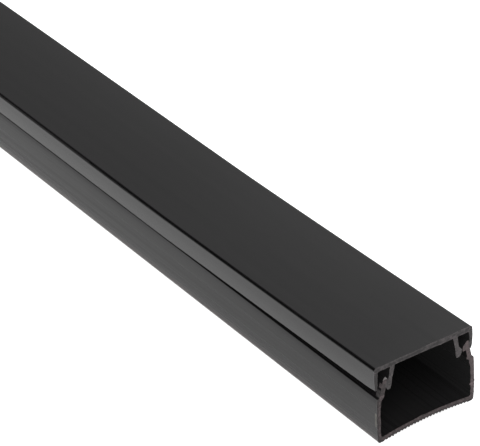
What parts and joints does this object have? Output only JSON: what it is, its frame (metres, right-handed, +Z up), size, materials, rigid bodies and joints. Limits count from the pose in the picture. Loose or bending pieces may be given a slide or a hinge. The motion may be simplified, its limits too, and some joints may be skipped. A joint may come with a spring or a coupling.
{
  "type": "cord cover raceway",
  "caption": "Straight rectangular cord cover raceway: a rib-backed channel with barbed lips and a flat clip-on cover, open at the ends, to hide and protect cords along a wall.",
  "frame": {"origin": "middle of the underside, at the level of the flat strips it stands on", "axes": "+X along the length, +Y across, +Z up from the wall side to the cover"},
  "size_m": [0.3988, 0.0254, 0.017],
  "materials": {
    "black_vinyl": "satin"
  },
  "bodies": {
    "root": {"base_channel": "black_vinyl", "snap_cover": "black_vinyl"}
  },
  "joints": []
}
